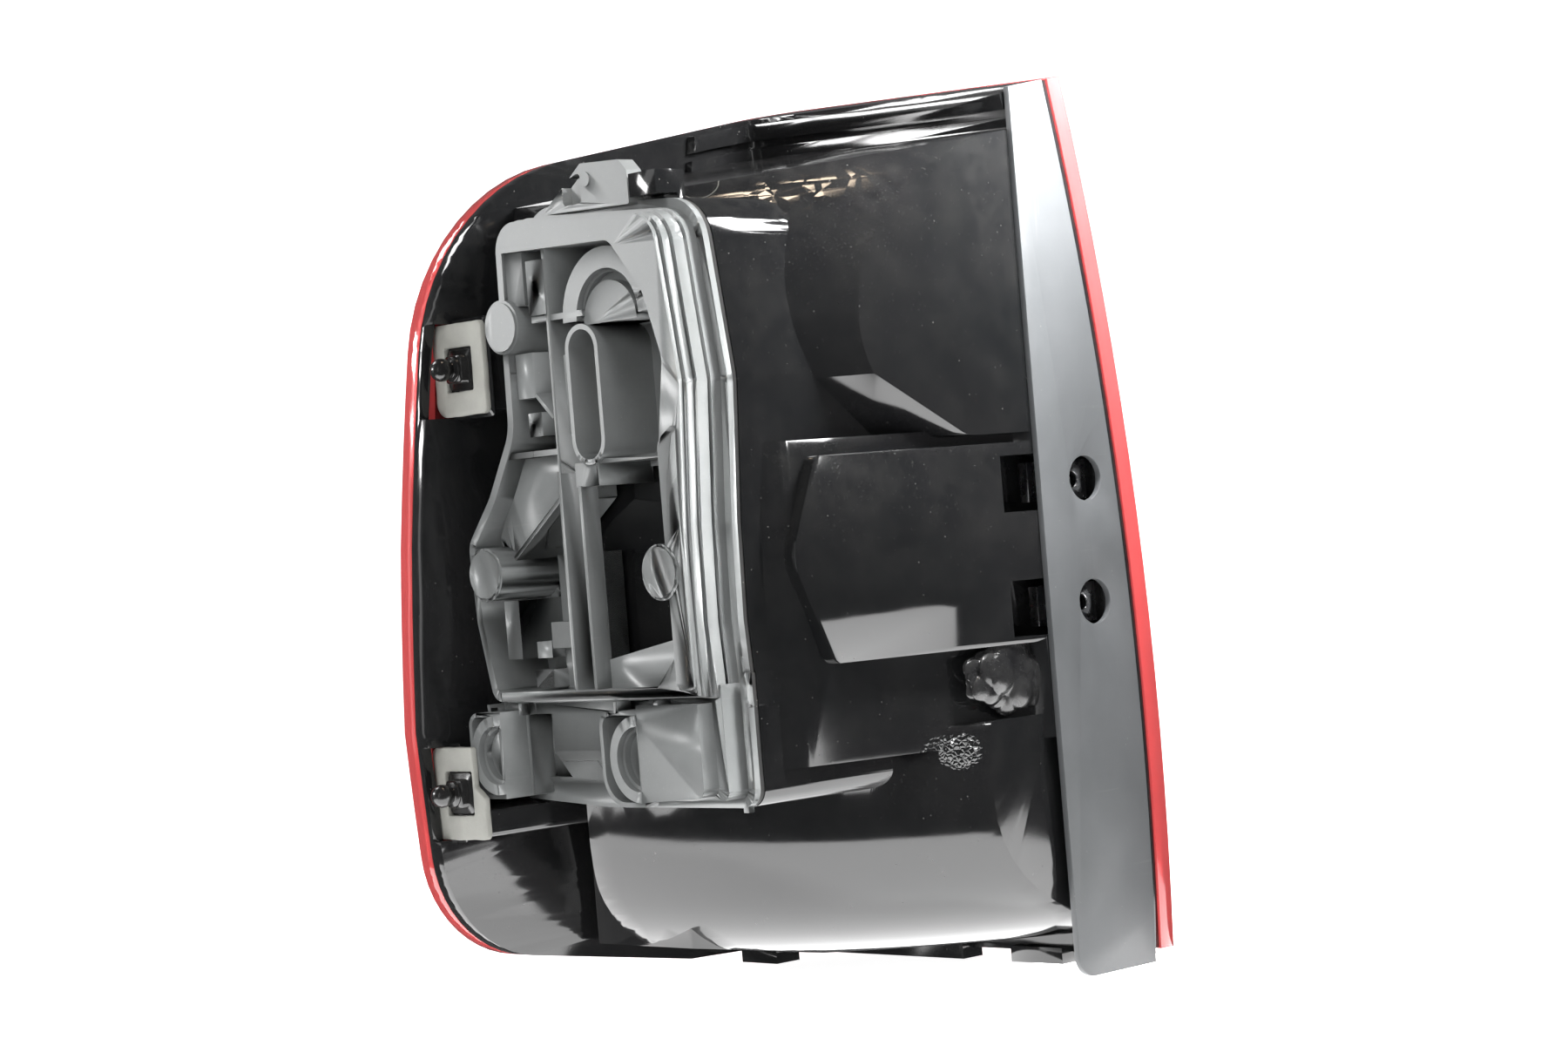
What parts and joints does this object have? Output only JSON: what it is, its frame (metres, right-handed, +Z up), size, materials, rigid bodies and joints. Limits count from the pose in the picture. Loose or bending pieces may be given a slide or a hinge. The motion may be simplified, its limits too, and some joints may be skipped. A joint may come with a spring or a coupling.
{
  "type": "tail light cluster",
  "caption": "Wrap-around vehicle tail lamp: red lens on a black moulded housing, with a grey bulb carrier, a screw strip along one side and two ball studs.",
  "frame": {"origin": "midway between the centres of the two screw holes, in the plane of their seats", "axes": "+X inboard, out of the screw seats; +Y rearward, through the lens; +Z up"},
  "size_m": [0.217, 0.251, 0.3925],
  "materials": {
    "housing_black": "semi-gloss moulded black",
    "strip_grey": "matte moulded dark grey",
    "lens_red": "clear red, polished",
    "lens_glue": "black sealant",
    "reflector_metallised": "vacuum-metallised",
    "carrier_grey": "satin moulded grey",
    "seal_rubber": "soft black foam rubber",
    "spring_steel": "bright zinc-plated",
    "stud_black": "moulded black",
    "pad_foam": "open grey-beige foam",
    "contact_tin": "tinned brass",
    "bulb_base_metal": "plain brass",
    "bulb_clear": "clear glass",
    "bulb_amber": "amber glass"
  },
  "bodies": {
    "root": {"housing": "housing_black", "side_strip": "strip_grey", "lens": "lens_red", "lens_seal": "lens_glue", "reflector": "reflector_metallised", "bulb_carrier": "carrier_grey", "carrier_seal": "seal_rubber", "clip_nuts": "spring_steel", "ball_stud_upper": "stud_black", "ball_stud_lower": "stud_black", "stud_pad_upper": "pad_foam", "stud_pad_lower": "pad_foam", "terminal_blades": "contact_tin", "contact_track_common": "contact_tin", "contact_track_feed": "contact_tin", "bulb_stop_base": "bulb_base_metal", "bulb_stop_glass": "bulb_clear", "bulb_turn_base": "bulb_base_metal", "bulb_turn_glass": "bulb_amber", "bulb_reverse_base": "bulb_base_metal", "bulb_reverse_glass": "bulb_clear", "bulb_fog_base": "bulb_base_metal", "bulb_fog_glass": "bulb_clear"}
  },
  "joints": []
}
